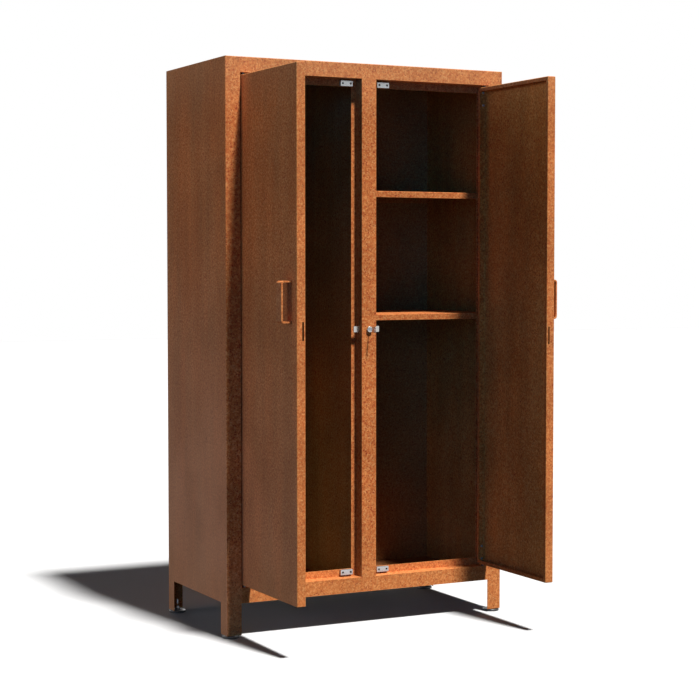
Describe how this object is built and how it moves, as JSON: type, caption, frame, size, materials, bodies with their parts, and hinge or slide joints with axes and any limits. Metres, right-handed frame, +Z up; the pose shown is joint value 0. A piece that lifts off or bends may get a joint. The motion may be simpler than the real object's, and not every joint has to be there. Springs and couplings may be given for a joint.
{
  "type": "firewood storage cabinet",
  "caption": "Tall two-door garden cabinet of folded weathering steel on levelling feet, with a full-height bay, a shelved bay, bent strap handles and a double-ended cam lock in the centre post.",
  "frame": {"origin": "on the ground at the centre of the four levelling feet", "axes": "+Z up, front with the doors towards -Y, +X to the right of someone facing the front"},
  "size_m": [1.009, 0.9025, 1.809],
  "materials": {
    "weathering_steel": "matte",
    "zinc_steel": "satin",
    "foot_plastic": "matte",
    "lock_chrome": "gloss",
    "catch_aluminium": "satin"
  },
  "bodies": {
    "cabinet": {"left_side_panel": "weathering_steel", "right_side_panel": "weathering_steel", "bottom_rail": "weathering_steel", "top_rail": "weathering_steel", "centre_post": "weathering_steel", "roof_panel": "weathering_steel", "floor_panel": "weathering_steel", "back_panel": "weathering_steel", "divider_panel": "weathering_steel", "upper_shelf": "weathering_steel", "lower_shelf": "weathering_steel", "front_left_foot_plate": "weathering_steel", "front_right_foot_plate": "weathering_steel", "back_left_foot_plate": "weathering_steel", "back_right_foot_plate": "weathering_steel", "catch_screws": "zinc_steel", "lock_nut": "zinc_steel", "left_upper_pin": "zinc_steel", "left_lower_pin": "zinc_steel", "right_upper_pin": "zinc_steel", "right_lower_pin": "zinc_steel", "lock_housing": "lock_chrome", "upper_left_catch": "catch_aluminium", "upper_right_catch": "catch_aluminium", "lower_left_catch": "catch_aluminium", "lower_right_catch": "catch_aluminium"},
    "left_door": {"left_door": "weathering_steel", "left_handle": "weathering_steel", "left_upper_bracket": "weathering_steel", "left_lower_bracket": "weathering_steel", "left_bracket_screws": "zinc_steel"},
    "right_door": {"right_door": "weathering_steel", "right_handle": "weathering_steel", "right_upper_bracket": "weathering_steel", "right_lower_bracket": "weathering_steel", "right_bracket_screws": "zinc_steel"},
    "lock": {"lock_plug": "lock_chrome", "lock_cam": "zinc_steel", "cam_screw": "zinc_steel", "key": "lock_chrome"},
    "front_left_foot": {"front_left_foot_pad": "foot_plastic", "front_left_foot_stud": "zinc_steel"},
    "front_right_foot": {"front_right_foot_pad": "foot_plastic", "front_right_foot_stud": "zinc_steel"},
    "back_left_foot": {"back_left_foot_pad": "foot_plastic", "back_left_foot_stud": "zinc_steel"},
    "back_right_foot": {"back_right_foot_pad": "foot_plastic", "back_right_foot_stud": "zinc_steel"}
  },
  "joints": [
    {"name": "left_door_hinge", "type": "hinge", "parent": "cabinet", "child": "left_door", "pos_m": [-0.437, -0.2405, 0.959], "axis": [0, 0, -1], "range_deg": [-90, 15]},
    {"name": "right_door_hinge", "type": "hinge", "parent": "cabinet", "child": "right_door", "pos_m": [0.437, -0.2405, 0.959], "axis": [0, 0, 1], "range_deg": [-90, 15]},
    {"name": "lock_turn", "type": "hinge", "parent": "cabinet", "child": "lock", "pos_m": [0, -0.25, 0.9595], "axis": [0, 1, 0], "range_deg": [0, 90]},
    {"name": "front_left_foot_turn", "type": "hinge", "parent": "cabinet", "child": "front_left_foot", "pos_m": [-0.4775, -0.2275, 0.01], "axis": [0, 0, 1], "continuous": true},
    {"name": "front_right_foot_turn", "type": "hinge", "parent": "cabinet", "child": "front_right_foot", "pos_m": [0.4775, -0.2275, 0.01], "axis": [0, 0, 1], "continuous": true},
    {"name": "back_left_foot_turn", "type": "hinge", "parent": "cabinet", "child": "back_left_foot", "pos_m": [-0.4775, 0.2275, 0.01], "axis": [0, 0, 1], "continuous": true},
    {"name": "back_right_foot_turn", "type": "hinge", "parent": "cabinet", "child": "back_right_foot", "pos_m": [0.4775, 0.2275, 0.01], "axis": [0, 0, 1], "continuous": true}
  ]
}
